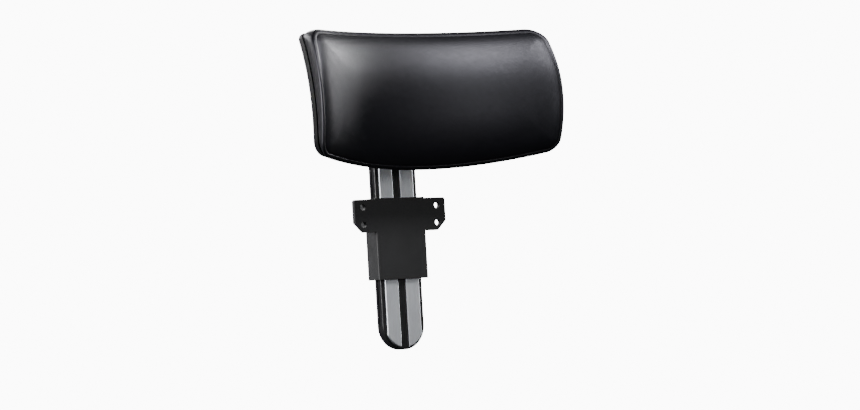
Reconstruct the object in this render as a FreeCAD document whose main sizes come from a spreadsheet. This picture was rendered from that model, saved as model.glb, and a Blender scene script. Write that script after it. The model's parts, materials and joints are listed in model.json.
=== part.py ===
"""Headrest attachment for an office chair: receiver, height-adjustable stem and tilting padded rest.

Frame, in millimetres: the origin is the centre of the receiver's bolt pattern, on the flange's front
mating face. +Z runs up along the stem, -Y faces the person sitting, +X is that person's left.
"""
import FreeCAD
import Part
import os
import re
import Sketcher
from FreeCAD import Placement, Rotation, Vector

DIMENSIONS = {
    # stem
    "stem_width": 50, "stem_thick": 12, "stem_front": 6, "stem_foot": -139, "neck_bottom": 80,
    "neck_back_top": 98, "neck_back_angle": 60, "neck_front_angle": 57.3, "stem_edge_round": 1.2,
    "side_rib_width": 3, "side_rib_depth": 1, "side_rib_stop": 4,
    "bar_width": 16, "bar_gap": 9, "bar_proud": 1.7, "bar_sunk": 1.3, "bar_top": 78,
    "bar_margin": 2.5, "bar_bevel": 0.9, "rivet_top_z": 64, "rivet_middle_z": 22,
    "rivet_foot_z": -97, "rivet_radius": 2, "rivet_head_radius": 3.5, "rivet_head_thick": 1.2,
    "rivet_sunk": 0.2,
    "spring_lane_width": 14, "spring_lane_depth": 2.5, "notch_radius": 3.5, "notch_pitch": 10,
    "notch_margin": 1, "notch_rise": 1.5, "spring_lane_spare": 4, "spring_lane_top": -8,
    "stop_lane_depth": 3, "stop_lane_play": 0.3, "travel": 60,
    # receiver
    "flange_width": 110, "flange_height": 34, "flange_thick": 5, "flange_slope": 10,
    "flange_corner": 2.5, "shaft_corner": 1.5, "lug_front": 1, "cover_edge_round": 1,
    "mount_span": 90, "mount_rise": 18, "mount_hole_radius": 3.3,
    "housing_half": 30, "housing_top": 18, "housing_bottom": -66, "front_wall": 3,
    "channel_half": 26.2, "slide_gap": 0.25, "liner_wall": 1, "liner_height": 14,
    "cover_thick": 3, "lug_half": 37, "lug_height": 28, "cover_screw_x": 33.5, "cover_screw_z": 8,
    "cover_screw_radius": 1.6, "cover_screw_end": 8, "screw_play": 0.2, "cover_head_radius": 3,
    "cover_head_thick": 2, "cover_socket_flats": 2.5, "cover_socket_floor": 0.8,
    "stop_pin_x": 15, "stop_pin_z": -2, "stop_pin_radius": 2.5, "stop_pin_clear": 0.4,
    "stop_head_radius": 4.2, "stop_head_thick": 2.4, "stop_socket_flats": 3, "stop_socket_floor": 1,
    "leaf_width": 10, "leaf_thick": 0.6, "leaf_foot": -50, "leaf_flat": 12, "leaf_tail": 14,
    "leaf_tail_rise": 1.8, "bump_height": -30, "bump_half": 4, "bump_flat": 1.1, "bump_depth": 1,
    "bump_bite": 0.6, "leaf_rivet_low": 3, "leaf_rivet_high": 9, "leaf_rivet_radius": 1.5,
    "leaf_rivet_head_radius": 2.8, "leaf_rivet_head_thick": 0.9,
    # hinge
    "hinge_y": -7, "hinge_z": 112, "rest_tilt": 6, "barrel_radius": 12, "barrel_half": 22,
    "axle_radius": 4, "axle_play": 0.05, "bush_radius": 6, "bush_flange_radius": 10,
    "bush_flange_thick": 1, "bush_inner_end": 4, "washer_play": 0.1, "ear_inner": 24.3, "ear_thick": 3,
    "ear_radius": 11, "plate_half": 38, "plate_height_half": 27, "plate_back": 13, "plate_thick": 3,
    "plate_corner": 6, "axle_end": 40, "axle_flats": 13, "axle_head_thick": 5.3,
    "axle_nut_thick": 6.5, "disc_pitch": 1, "disc_narrow": 7, "disc_wide": 8, "disc_play": 0.05,
    "disc_bore_play": 0.1,
    "bracket_bolt_x": 30, "bracket_bolt_z": 19, "bracket_bolt_radius": 3, "bolt_play": 0.3,
    "bolt_head_radius": 5, "bolt_head_thick": 3.3, "bolt_socket_flats": 4, "bolt_socket_floor": 1.3,
    "bolt_past_seat": 1, "thread_play": 0.02,
    "cap_radius": 12.4, "cap_wall": 1.6, "cap_outer": 43, "cap_round": 2.5,
    # pad, measured from the hinge axis: depths run forwards
    "pad_half_width": 145.3, "pad_top": 69.3, "pad_bottom": -73,
    "side_arc": 567, "side_middle": -5.8, "top_arc": 4230, "bottom_arc": 957,
    "top_corner": 17, "bottom_corner": 11,
    "wrap_centre": 338, "seam_depth": 53.1, "seam_radius": 173.2, "seam_apex": 2.5,
    "rim_depth": 36.1, "rim_radius": 174.6, "rim_apex": -6.7,
    "crown": 5, "front_edge_round": 6, "leather": 1.6, "band_inset": 4.2, "taper_depth": 8,
    "skin_lap": 0.1, "seam_gap": 0.1,
    "shell_half_width": 141.4, "shell_top": 68.6, "shell_bottom": -68.2,
    "shell_top_corner": 7, "shell_bottom_corner": 16.5,
    "shell_depth": 8.5, "shell_wall": 2.6, "shell_round": 5, "rim_gap": 1.5,
    "carrier_thick": 6, "carrier_back_gap": 1.1, "carrier_inset": 4.5,
    "pedestal_wall": 3, "pedestal_margin": 4, "pedestal_front": 34, "pedestal_corner": 8,
    "pedestal_bite": 0.5, "boss_radius": 7, "boss_gap": 1.6,
    "tee_nut_radius": 9, "tee_nut_seat": 34, "tee_flange_thick": 1.2, "tee_barrel_radius": 3.95,
    "tee_barrel_length": 2, "tee_barrel_play": 0.05, "tee_seat_play": 0.2,
    "tee_room_play": 0.6, "tee_room_front": 2.5, "tee_room_back": 5,
    "shell_screw_x": 112, "shell_screw_mid_x": 74, "shell_screw_z": 44, "shell_screw_radius": 1.5,
    "shell_screw_clear": 1.9, "shell_screw_length": 8, "shell_head_radius": 3.3,
    "shell_head_top_radius": 2.6, "shell_head_thick": 1.9,
    "screw_boss_radius": 5.5, "screw_boss_gap": 3, "screw_boss_end": 6, "screw_seat_depth": 4.2,
    "screw_well_radius": 3.6,
    # how far a cutting tool runs past the face it opens
    "overcut": 1,
}

doc = FreeCAD.newDocument("headrest_attachment")
sheet = doc.addObject("Spreadsheet::Sheet", "dims")
for row, (alias, value) in enumerate(DIMENSIONS.items(), start=1):
    sheet.set(f"A{row}", alias)
    sheet.set(f"B{row}", str(value))
    sheet.setAlias(f"B{row}", alias)
doc.recompute()

SUB_PARTS = []
LONG_EDGE = 100  # only the stem's and the pad outline's lengthwise edges are longer
CLOSE = 0.2  # how near a surface an edge lies to count as on it


def formula(text):
    """Turn names of driving dimensions into references to the sheet's cells."""
    return re.sub(r"[a-z_]{3,}", lambda m: f"dims.{m[0]}" if m[0] in DIMENSIONS else m[0], str(text))


def size(text):
    """The present value of a formula in the driving dimensions."""
    return float(sheet.evalExpression(formula(text)))


def bind(item, **properties):
    """Bind properties of a document object to formulas; a double underscore stands for a dot."""
    for path, text in properties.items():
        item.setExpression(path.replace("__", "."), formula(text))


def place(item, x="0", y="0", z="0"):
    bind(item, Placement__Base__x=x, Placement__Base__y=y, Placement__Base__z=z)


def box(name, x, y, z):
    """A block between formulas: x, y and z are (low, high) pairs, or one half-width for x."""
    if isinstance(x, str):
        x = (f"-({x})", x)
    item = doc.addObject("Part::Box", name)
    bind(item, Length=f"{x[1]} - ({x[0]})", Width=f"{y[1]} - ({y[0]})", Height=f"{z[1]} - ({z[0]})")
    place(item, x[0], y[0], z[0])
    return item


TURN_TO = {"X": Rotation(Vector(0, 1, 0), 90), "Y": Rotation(Vector(1, 0, 0), -90), "Z": Rotation()}


def rod(name, radius, start, end, axis, x="0", y="0", z="0"):
    """A cylinder along a row axis, between two formulas along that axis."""
    item = doc.addObject("Part::Cylinder", name)
    item.Placement = Placement(Vector(), TURN_TO[axis])
    bind(item, Radius=radius, Height=f"{end} - ({start})")
    at = {"X": x, "Y": y, "Z": z}
    at[axis] = start
    place(item, at["X"], at["Y"], at["Z"])
    return item


def cone(name, start_radius, end_radius, start, end, axis, x="0", y="0", z="0"):
    """A cone frustum along a row axis."""
    item = doc.addObject("Part::Cone", name)
    item.Placement = Placement(Vector(), TURN_TO[axis])
    bind(item, Radius1=start_radius, Radius2=end_radius, Height=f"{end} - ({start})")
    at = {"X": x, "Y": y, "Z": z}
    at[axis] = start
    place(item, at["X"], at["Y"], at["Z"])
    return item


def hexagon(name, across_flats, start, end, axis, x="0", y="0", z="0"):
    """A hexagonal prism along a row axis, for bolt heads and nuts."""
    item = doc.addObject("Part::Prism", name)
    item.Polygon = 6
    item.Placement = Placement(Vector(), TURN_TO[axis])
    bind(item, Circumradius=f"{across_flats} / sqrt(3)", Height=f"{end} - ({start})")
    at = {"X": x, "Y": y, "Z": z}
    at[axis] = start
    place(item, at["X"], at["Y"], at["Z"])
    return item


def fuse(name, *shapes):
    item = doc.addObject("Part::MultiFuse", name)
    item.Shapes = list(shapes)
    return item


def group(name, *shapes):
    """Separate solids of identical pieces, kept apart in one sub-part."""
    item = doc.addObject("Part::Compound", name)
    item.Links = list(shapes)
    return item


def common(name, *shapes):
    item = doc.addObject("Part::MultiCommon", name)
    item.Shapes = list(shapes)
    return item


def cut(name, base, *tools):
    """Take the tools away from the base."""
    item = doc.addObject("Part::Cut", name)
    item.Base = base
    item.Tool = tools[0] if len(tools) == 1 else fuse(f"{name}_tools", *tools)
    return item


def rounded(name, base, radius, chosen):
    """Fillet the edges that chosen(edge) accepts; the radius is a formula."""
    doc.recompute()
    item = doc.addObject("Part::Fillet", name)
    item.Base = base
    value = size(radius)
    edges = [(k, value, value) for k, edge in enumerate(base.Shape.Edges, start=1) if chosen(edge)]
    if not edges:
        raise ValueError(f"{name}: no edge to round")
    item.Edges = edges
    return item


def middle(edge):
    return edge.valueAt((edge.FirstParameter + edge.LastParameter) / 2)


def runs_along(edge, axis):
    """True where a straight edge is parallel to a row axis."""
    if len(edge.Vertexes) != 2:
        return False
    step = edge.Vertexes[1].Point - edge.Vertexes[0].Point
    return abs(step.dot(axis)) > 0.9999 * step.Length and abs(step.Length - edge.Length) < 1e-6


def drawing(name, plane, corners):
    """A closed sketch of straight lines through corners, each a pair of formulas, in a new body."""
    body = doc.addObject("PartDesign::Body", f"{name}_body")
    sketch = body.newObject("Sketcher::SketchObject", f"{name}_sketch")
    origin_plane = next(item for item in body.Origin.OriginFeatures if item.Role == plane)
    sketch.AttachmentSupport = (origin_plane, [""])
    sketch.MapMode = "FlatFace"
    points = [Vector(size(u), size(v), 0) for u, v in corners]
    ends = points[1:] + points[:1]
    sketch.addGeometry([Part.LineSegment(a, b) for a, b in zip(points, ends)], False)
    for k, (u, v) in enumerate(corners):
        sketch.addConstraint(Sketcher.Constraint("Coincident", k, 2, (k + 1) % len(corners), 1))
        for kind, text, value in (("DistanceX", u, points[k].x), ("DistanceY", v, points[k].y)):
            index = sketch.addConstraint(Sketcher.Constraint(kind, -1, 1, k, 1, value))
            sketch.setExpression(f"Constraints[{index}]", formula(text))
    return body, sketch


def extruded(name, plane, corners, length, offset):
    """Pad a closed outline; offset moves its sketch along the plane's normal."""
    body, sketch = drawing(name, plane, corners)
    sketch.setExpression("AttachmentOffset.Base.z", formula(offset))
    pad = body.newObject("PartDesign::Pad", f"{name}_pad")
    pad.Profile = sketch
    bind(pad, Length=length)
    return body


def keep(node, item):
    """Name a finished sub-part after the piece it is."""
    item.Label = node
    SUB_PARTS.append(item)


def hang_on_pad(node, item):
    """Keep a sub-part drawn about the hinge axis, hung on the stem's head at the rest tilt."""
    doc.recompute()
    hung = doc.addObject("Part::Compound", f"{node}_hung")
    hung.Links = [item]
    hung.Placement = Placement(Vector(), Rotation(Vector(-1, 0, 0), DIMENSIONS["rest_tilt"]))
    bind(hung, Placement__Base__y="hinge_y", Placement__Base__z="hinge_z",
         Placement__Rotation__Angle="rest_tilt")
    keep(node, hung)


BACK = "(stem_front + stem_thick)"
BAR_FRONT = "(stem_front - bar_proud)"
BAR_CENTRE = "(bar_gap / 2 + bar_width / 2)"
COVER_FRONT = f"({BACK} + slide_gap + liner_wall)"
COVER_BACK = f"({COVER_FRONT} + cover_thick)"
SIDES = (("left", 1), ("right", -1))
RIVET_HEIGHTS = ("rivet_top_z", "rivet_middle_z", "rivet_foot_z")
DISC_COUNT = 4
LEAF_RIVETS = ("leaf_foot + leaf_rivet_low", "leaf_foot + leaf_rivet_high")


# ---------------------------------------------------------------- stem
def stem():
    """Flat bar with a rounded foot, trim seats, side ribs, detent lane and the hinge barrel."""
    half = "stem_width / 2"
    shank = box("shank", half, ("stem_front", BACK), (f"stem_foot + {half}", "neck_bottom"))
    foot = rod("foot", half, "stem_front", BACK, "Y", z=f"stem_foot + {half}")
    neck = extruded("neck", "YZ_Plane", [
        ("stem_front", "neck_bottom"), (BACK, "neck_bottom"), (BACK, "neck_back_top"),
        ("hinge_y + barrel_radius * cos(neck_back_angle)",
         "hinge_z + barrel_radius * sin(neck_back_angle)"),
        ("hinge_y", "hinge_z"),
        ("hinge_y - barrel_radius * cos(neck_front_angle)",
         "hinge_z - barrel_radius * sin(neck_front_angle)")],
        "2 * barrel_half", "-barrel_half")
    barrel = rod("barrel", "barrel_radius", "-barrel_half", "barrel_half", "X", y="hinge_y", z="hinge_z")
    blank = fuse("stem_blank", shank, foot, neck, barrel)
    eased = rounded("stem_eased", blank, "stem_edge_round",
                    lambda e: runs_along(e, Vector(0, 0, 1)) and e.Length > LONG_EDGE)
    tools = [rod("barrel_bore", "bush_radius", "-stem_width", "stem_width", "X",
                 y="hinge_y", z="hinge_z")]
    for side, sign in SIDES:
        tools.append(trim_outline(f"{side}_seat", sign, "stem_front - bar_proud",
                                  "stem_front + bar_sunk", "0"))
        outer = "stem_width / 2"
        inner = f"({outer} - side_rib_depth)"
        past = f"({outer} + overcut)"
        reach = (inner, past) if sign > 0 else (f"-{past}", f"-{inner}")
        middle_y = "(stem_front + stem_thick / 2)"
        tools.append(box(f"{side}_rib", reach,
                         (f"{middle_y} - side_rib_width / 2", f"{middle_y} + side_rib_width / 2"),
                         (f"stem_foot + {outer}", "neck_bottom - side_rib_stop")))
    lane_floor = f"{BACK} - spring_lane_depth"
    notches = int(DIMENSIONS["travel"] / DIMENSIONS["notch_pitch"]) + 1
    tools.append(box("spring_lane", "spring_lane_width / 2", (lane_floor, f"{BACK} + overcut"),
                     ("leaf_foot - travel - spring_lane_spare", "spring_lane_top")))
    for k in range(notches):
        tools.append(rod(f"notch_{k}", "notch_radius", "-spring_lane_width / 2 + notch_margin",
                         "spring_lane_width / 2 - notch_margin", "X", y=f"{lane_floor} + notch_rise",
                         z=f"bump_height - {k} * notch_pitch"))
    lane_half = "(stop_pin_radius + stop_lane_play)"
    tools.append(box("stop_lane", (f"stop_pin_x - {lane_half}", f"stop_pin_x + {lane_half}"),
                     (f"{BACK} - stop_lane_depth", f"{BACK} + overcut"),
                     (f"stop_pin_z - {lane_half} - travel", f"stop_pin_z + {lane_half}")))
    for side, sign in SIDES:
        for k, z in enumerate(RIVET_HEIGHTS):
            x = f"{sign} * {BAR_CENTRE}"
            tools.append(rod(f"{side}_rivet_hole_{k}", "rivet_radius", "stem_front",
                             f"{BACK} + overcut", "Y", x=x, z=z))
            tools.append(rod(f"{side}_rivet_seat_{k}", "rivet_head_radius",
                             f"{BACK} - rivet_head_thick", f"{BACK} + overcut", "Y", x=x, z=z))
    keep("stem_bar", cut("stem_finished", eased, *tools))


def trim_outline(name, sign, front, back, margin):
    """The outline of one trim bar: square at the top, following the round foot at the bottom."""
    centre = f"{sign} * {BAR_CENTRE}"
    half = f"(bar_width / 2 + {margin})"
    strip = box(f"{name}_strip", (f"{centre} - {half}", f"{centre} + {half}"), (front, back),
                ("stem_foot", "bar_top"))
    reach = "(stem_width / 2 - bar_margin)"
    foot = fuse(f"{name}_foot",
                rod(f"{name}_round", reach, front, back, "Y", z="stem_foot + stem_width / 2"),
                box(f"{name}_above", reach, (front, back), ("stem_foot + stem_width / 2", "bar_top")))
    return common(name, strip, foot)


def trim_bars():
    """Two satin metal bars let into the stem's front face, riveted from behind."""
    rivets = []
    for side, sign in SIDES:
        blank = trim_outline(f"{side}_bar_blank", sign, BAR_FRONT, "stem_front + bar_sunk", "0")
        front = size(BAR_FRONT)
        bar = rounded(f"{side}_bar", blank, "bar_bevel",
                      lambda e: abs(middle(e).y - front) < 1e-6)
        keep(f"{side}_trim_bar", bar)
        for k, z in enumerate(RIVET_HEIGHTS):
            x = f"{sign} * {BAR_CENTRE}"
            rivets.append(fuse(
                f"{side}_rivet_{k}",
                rod(f"{side}_rivet_shank_{k}", "rivet_radius", "stem_front + bar_sunk",
                    f"{BACK} - rivet_head_thick", "Y", x=x, z=z),
                rod(f"{side}_rivet_head_{k}", "rivet_head_radius", f"{BACK} - rivet_head_thick",
                    f"{BACK} - rivet_sunk", "Y", x=x, z=z)))
    keep("trim_bar_rivets", group("rivet_set", *rivets))


# ---------------------------------------------------------------- receiver
def receiver_housing():
    """Flange and open-backed channel that the stem slides in."""
    wide = "flange_width / 2"
    tall = "flange_height / 2"
    flange = extruded("flange", "XZ_Plane", [
        (f"-{wide}", tall), (f"-{wide}", f"-{tall} + flange_slope"),
        (f"-{wide} + flange_slope", f"-{tall}"), (f"{wide} - flange_slope", f"-{tall}"),
        (wide, f"-{tall} + flange_slope"), (wide, tall)], "flange_thick", "-flange_thick")
    flange_eased = rounded("flange_eased", flange, "flange_corner", lambda e: runs_along(e, Vector(0, 1, 0)))
    shaft = box("shaft", "housing_half", ("0", COVER_FRONT), ("housing_bottom", "housing_top"))
    shaft_eased = rounded("shaft_eased", shaft, "shaft_corner",
                          lambda e: runs_along(e, Vector(0, 0, 1)) and middle(e).y < CLOSE)
    lugs = box("lugs", "lug_half", ("lug_front", COVER_FRONT), ("-lug_height / 2", "lug_height / 2"))
    lugs_eased = rounded("lugs_eased", lugs, "flange_corner", lambda e: runs_along(e, Vector(0, 1, 0)))
    blank = fuse("housing_blank", flange_eased, shaft_eased, lugs_eased)
    tools = [box("channel", "channel_half", ("front_wall", f"{COVER_FRONT} + overcut"),
                 ("housing_bottom - overcut", "housing_top + overcut"))]
    for side, sign in SIDES:
        for level, rise in (("upper", 1), ("lower", -1)):
            tools.append(rod(f"{side}_{level}_mount_hole", "mount_hole_radius", "-overcut",
                             "flange_thick + overcut", "Y",
                             x=f"{sign} * mount_span / 2", z=f"{rise} * mount_rise / 2"))
            tools.append(rod(f"{side}_{level}_pilot", "cover_screw_radius",
                             "cover_screw_end - overcut", f"{COVER_FRONT} + overcut", "Y",
                             x=f"{sign} * cover_screw_x", z=f"{rise} * cover_screw_z"))
    keep("receiver_housing", cut("housing_finished", blank, *tools))


def receiver_back_cover():
    """Plate closing the channel, with wings for its screws."""
    plate = box("cover_plate", "housing_half", (COVER_FRONT, COVER_BACK),
                ("housing_bottom", "housing_top"))
    wings = box("cover_wings", "lug_half", (COVER_FRONT, COVER_BACK),
                ("-lug_height / 2", "lug_height / 2"))
    blank = fuse("cover_blank", plate, wings)
    back = size(COVER_BACK)
    eased = rounded("cover_eased", blank, "cover_edge_round", lambda e: abs(middle(e).y - back) < 1e-6)
    tools = [rod("stop_hole", "stop_pin_radius", f"{COVER_FRONT} - overcut", f"{COVER_BACK} + overcut", "Y",
                 x="stop_pin_x", z="stop_pin_z")]
    screws = []
    for side, sign in SIDES:
        for level, rise in (("upper", 1), ("lower", -1)):
            at = {"x": f"{sign} * cover_screw_x", "z": f"{rise} * cover_screw_z"}
            tools.append(rod(f"{side}_{level}_clear", "cover_screw_radius + screw_play",
                             f"{COVER_FRONT} - overcut", f"{COVER_BACK} + overcut", "Y", **at))
            shank = rod(f"{side}_{level}_screw_shank", "cover_screw_radius", "cover_screw_end", COVER_BACK,
                        "Y", **at)
            head = rod(f"{side}_{level}_screw_head", "cover_head_radius", COVER_BACK,
                       f"{COVER_BACK} + cover_head_thick", "Y", **at)
            socket = hexagon(f"{side}_{level}_socket", "cover_socket_flats",
                             f"{COVER_BACK} + cover_socket_floor",
                             f"{COVER_BACK} + cover_head_thick + overcut", "Y", **at)
            solid = fuse(f"{side}_{level}_solid", shank, head)
            screws.append(cut(f"{side}_{level}_screw", solid, socket))
    for k, z in enumerate(LEAF_RIVETS):
        tools.append(rod(f"leaf_hole_{k}", "leaf_rivet_radius", f"{COVER_FRONT} - overcut",
                         f"{COVER_BACK} + overcut", "Y", z=z))
    keep("receiver_back_cover", cut("cover_finished", eased, *tools))
    keep("cover_screws", group("cover_screw_set", *screws))


def guide_liner(node, low, high):
    """Low-friction frame that the stem runs through."""
    inner_half = "stem_width / 2 + slide_gap"
    front = f"{BAR_FRONT} - slide_gap"
    blank = box(f"{node}_blank", "channel_half", ("front_wall", COVER_FRONT), (low, high))
    bore = box(f"{node}_bore", inner_half, (front, f"{BACK} + slide_gap"),
               (f"{low} - overcut", f"{high} + overcut"))
    keep(node, cut(f"{node}_finished", blank, bore))


def detent_leaf_spring():
    """Bent strip whose bump drops into the stem's notches, riveted inside the back cover."""
    foot = "leaf_foot"
    flat = f"({COVER_FRONT} - leaf_thick)"
    tip = f"({BACK} - spring_lane_depth - bump_bite)"
    slope = f"({tip} + bump_depth)"
    tail = f"({tip} + leaf_tail_rise)"
    corners = [
        (COVER_FRONT, foot), (COVER_FRONT, f"{foot} + leaf_flat"),
        (f"{slope} + leaf_thick", "bump_height - bump_half"),
        (f"{tip} + leaf_thick", "bump_height - bump_flat"),
        (f"{tip} + leaf_thick", "bump_height + bump_flat"),
        (f"{slope} + leaf_thick", "bump_height + bump_half"),
        (f"{tail} + leaf_thick", "bump_height + leaf_tail"), (tail, "bump_height + leaf_tail"),
        (slope, "bump_height + bump_half"), (tip, "bump_height + bump_flat"),
        (tip, "bump_height - bump_flat"), (slope, "bump_height - bump_half"),
        (flat, f"{foot} + leaf_flat"), (flat, foot)]
    keep("detent_leaf_spring", extruded("leaf", "YZ_Plane", corners, "leaf_width", "-leaf_width / 2"))
    rivets = []
    for k, z in enumerate(LEAF_RIVETS):
        shank = rod(f"leaf_rivet_shank_{k}", "leaf_rivet_radius", COVER_FRONT, COVER_BACK, "Y", z=z)
        head = rod(f"leaf_rivet_head_{k}", "leaf_rivet_head_radius", COVER_BACK,
                   f"{COVER_BACK} + leaf_rivet_head_thick", "Y", z=z)
        rivets.append(fuse(f"leaf_rivet_{k}", shank, head))
    keep("leaf_spring_rivets", group("leaf_rivet_set", *rivets))


def stop_pin():
    """Screwed peg that runs in the stem's stop lane and ends the height travel."""
    at = {"x": "stop_pin_x", "z": "stop_pin_z"}
    peg = rod("stop_peg", "stop_pin_radius", f"{BACK} - stop_lane_depth + stop_pin_clear", COVER_BACK,
              "Y", **at)
    head = rod("stop_head", "stop_head_radius", COVER_BACK, f"{COVER_BACK} + stop_head_thick", "Y", **at)
    socket = hexagon("stop_socket", "stop_socket_flats", f"{COVER_BACK} + stop_socket_floor",
                     f"{COVER_BACK} + stop_head_thick + overcut", "Y", **at)
    keep("stop_pin", cut("stop_finished", fuse("stop_solid", peg, head), socket))


# ---------------------------------------------------------------- hinge
def hinge_bushes():
    """Flanged plastic bushes pressed into both ends of the barrel."""
    at = {"y": "hinge_y", "z": "hinge_z"}
    for side, sign in SIDES:
        inner, face, outer = (f"{sign} * {x}" for x in
                              ("bush_inner_end", "barrel_half", "(barrel_half + bush_flange_thick)"))
        low, high = (inner, outer) if sign > 0 else (outer, inner)
        rim = (face, outer) if sign > 0 else (outer, face)
        sleeve = rod(f"{side}_bush_sleeve", "bush_radius", low, high, "X", **at)
        flange = rod(f"{side}_bush_flange", "bush_flange_radius", rim[0], rim[1], "X", **at)
        bore = rod(f"{side}_bush_bore", "axle_radius + axle_play", "-stem_width", "stem_width", "X", **at)
        keep(f"{side}_hinge_bush",
             cut(f"{side}_bush", fuse(f"{side}_bush_blank", sleeve, flange), bore))


def hinge_bracket():
    """Steel plate with two ears that straddle the barrel, drawn about the hinge axis."""
    back = "-(plate_back + plate_thick)"
    plate = box("bracket_plate", "plate_half", (back, "-plate_back"),
                ("-plate_height_half", "plate_height_half"))
    plate_eased = rounded("plate_eased", plate, "plate_corner", lambda e: runs_along(e, Vector(0, 1, 0)))
    solids = [plate_eased]
    tools = [rod("bracket_axle_hole", "axle_radius + axle_play", "-stem_width", "stem_width", "X")]
    for side, sign in SIDES:
        near, far = "ear_inner", "(ear_inner + ear_thick)"
        span = (near, far) if sign > 0 else (f"-{far}", f"-{near}")
        solids.append(rod(f"{side}_ear_eye", "ear_radius", span[0], span[1], "X"))
        solids.append(box(f"{side}_ear_web", span, ("-plate_back - overcut", "0"),
                          ("-ear_radius", "ear_radius")))
        for level, rise in (("upper", 1), ("lower", -1)):
            tools.append(rod(f"{side}_{level}_bracket_hole", "bracket_bolt_radius + bolt_play",
                             "-plate_back - plate_thick - overcut", "-plate_back + overcut", "Y",
                             x=f"{sign} * bracket_bolt_x", z=f"{rise} * bracket_bolt_z"))
    hang_on_pad("hinge_bracket", cut("bracket", fuse("bracket_blank", *solids), *tools))


def hinge_hardware():
    """Axle bolt, nut, washers and disc springs, all along the hinge axis."""
    ear_face = "(ear_inner + ear_thick)"
    shank = rod("axle_shank", "axle_radius", f"-{ear_face}", "axle_end", "X")
    head = hexagon("axle_head", "axle_flats", f"-{ear_face} - axle_head_thick", f"-{ear_face}", "X")
    hang_on_pad("hinge_axle", fuse("axle", shank, head))
    stack = f"({ear_face} + {DISC_COUNT} * disc_pitch)"
    nut = cut("nut_cut", hexagon("nut_blank", "axle_flats", stack, f"{stack} + axle_nut_thick", "X"),
              rod("nut_bore", "axle_radius", "0", "cap_outer", "X"))
    hang_on_pad("axle_nut", nut)
    discs = []
    for k in range(DISC_COUNT):
        start = f"({ear_face} + {k} * disc_pitch)"
        radii = ("disc_wide", "disc_narrow") if k % 2 else ("disc_narrow", "disc_wide")
        dish = cone(f"disc_{k}_blank", *radii, f"{start} + disc_play", f"{start} + disc_pitch - disc_play",
                    "X")
        bore = rod(f"disc_{k}_bore", "axle_radius + disc_bore_play", "0", "cap_outer", "X")
        discs.append(cut(f"disc_{k}", dish, bore))
    hang_on_pad("disc_springs", group("disc_set", *discs))
    washers = []
    for side, sign in SIDES:
        near = "(barrel_half + bush_flange_thick + washer_play)"
        span = (near, "ear_inner") if sign > 0 else ("-ear_inner", f"-{near}")
        blank = rod(f"{side}_washer_blank", "bush_flange_radius", span[0], span[1], "X")
        bore = rod(f"{side}_washer_bore", "axle_radius + axle_play", "-stem_width", "stem_width", "X")
        washers.append(cut(f"{side}_washer", blank, bore))
    hang_on_pad("friction_washers", group("washer_set", *washers))


def hinge_caps():
    """Round plastic cups that cover the axle's head and nut."""
    ear_face = "(ear_inner + ear_thick)"
    for side, sign in SIDES:
        outer = (ear_face, "cap_outer") if sign > 0 else ("-cap_outer", f"-{ear_face}")
        inside = ((ear_face, "cap_outer - cap_wall") if sign > 0
                  else ("-cap_outer + cap_wall", f"-{ear_face}"))
        cup = rod(f"{side}_cap_blank", "cap_radius", outer[0], outer[1], "X")
        end = sign * DIMENSIONS["cap_outer"]
        soft = rounded(f"{side}_cap_soft", cup, "cap_round",
                       lambda e: abs(middle(e).x - end) < 1e-6 and e.Length > DIMENSIONS["cap_radius"])
        hollow = rod(f"{side}_cap_hollow", "cap_radius - cap_wall", inside[0], inside[1], "X")
        hang_on_pad(f"{side}_hinge_cap", cut(f"{side}_cap", soft, hollow))


# ---------------------------------------------------------------- pad
LEATHER = ("pad_half_width", "pad_top", "pad_bottom", "top_corner", "bottom_corner")
SHELL = ("shell_half_width", "shell_top", "shell_bottom", "shell_top_corner", "shell_bottom_corner")
PAD_SPACE = ("-150", "30")  # depths that hold the whole pad
FAR_AHEAD = PAD_SPACE[0]


def outline(name, edges, inset):
    """Prism with the leather's or the shell's outline drawn in by inset: large arcs, rounded corners."""
    half_width, top, bottom, top_corner, bottom_corner = edges
    side_radius = f"side_arc - ({inset})"
    side = f"{half_width} - side_arc"
    arcs = [
        rod(f"{name}_top", f"top_arc - ({inset})", *PAD_SPACE, "Y", z=f"{top} - top_arc"),
        rod(f"{name}_bottom", f"bottom_arc - ({inset})", *PAD_SPACE, "Y", z=f"{bottom} + bottom_arc"),
        rod(f"{name}_left", side_radius, *PAD_SPACE, "Y", x=side, z="side_middle"),
        rod(f"{name}_right", side_radius, *PAD_SPACE, "Y", x=f"-({side})", z="side_middle")]
    blank = common(f"{name}_blank", *arcs)
    doc.recompute()
    item = doc.addObject("Part::Fillet", name)
    item.Base = blank
    inset_now = size(inset)
    corners = []
    for k, edge in enumerate(blank.Shape.Edges, start=1):
        if runs_along(edge, Vector(0, 1, 0)) and edge.Length > LONG_EDGE:
            radius = DIMENSIONS[top_corner if middle(edge).z > 0 else bottom_corner] - inset_now
            corners.append((k, radius, radius))
    item.Edges = corners
    return item


def behind(name, depth, radius, apex):
    """All space behind a saddle: hollow in plan about the wrap centre, bulging forwards in height."""
    item = doc.addObject("Part::Torus", name)
    bind(item, Radius1=f"wrap_centre - ({depth}) + ({radius})", Radius2=radius)
    place(item, "0", "-wrap_centre", apex)
    return item


def behind_rim(name, forward):
    """Space behind the surface that runs parallel to the shell's rim, moved forwards."""
    return behind(name, f"rim_depth + {forward}", f"rim_radius + {forward}", "rim_apex")


def behind_seam(name, forward):
    """Space behind the surface parallel to the front panel's seam, moved forwards."""
    return behind(name, f"seam_depth + {forward}", f"seam_radius + {forward}", "seam_apex")


def layer(name, edges, inset, back, front):
    """Slice of an outline between a back and a front saddle."""
    prism = outline(f"{name}_outline", edges, inset)
    return cut(name, common(f"{name}_front", prism, front), back)


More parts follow.
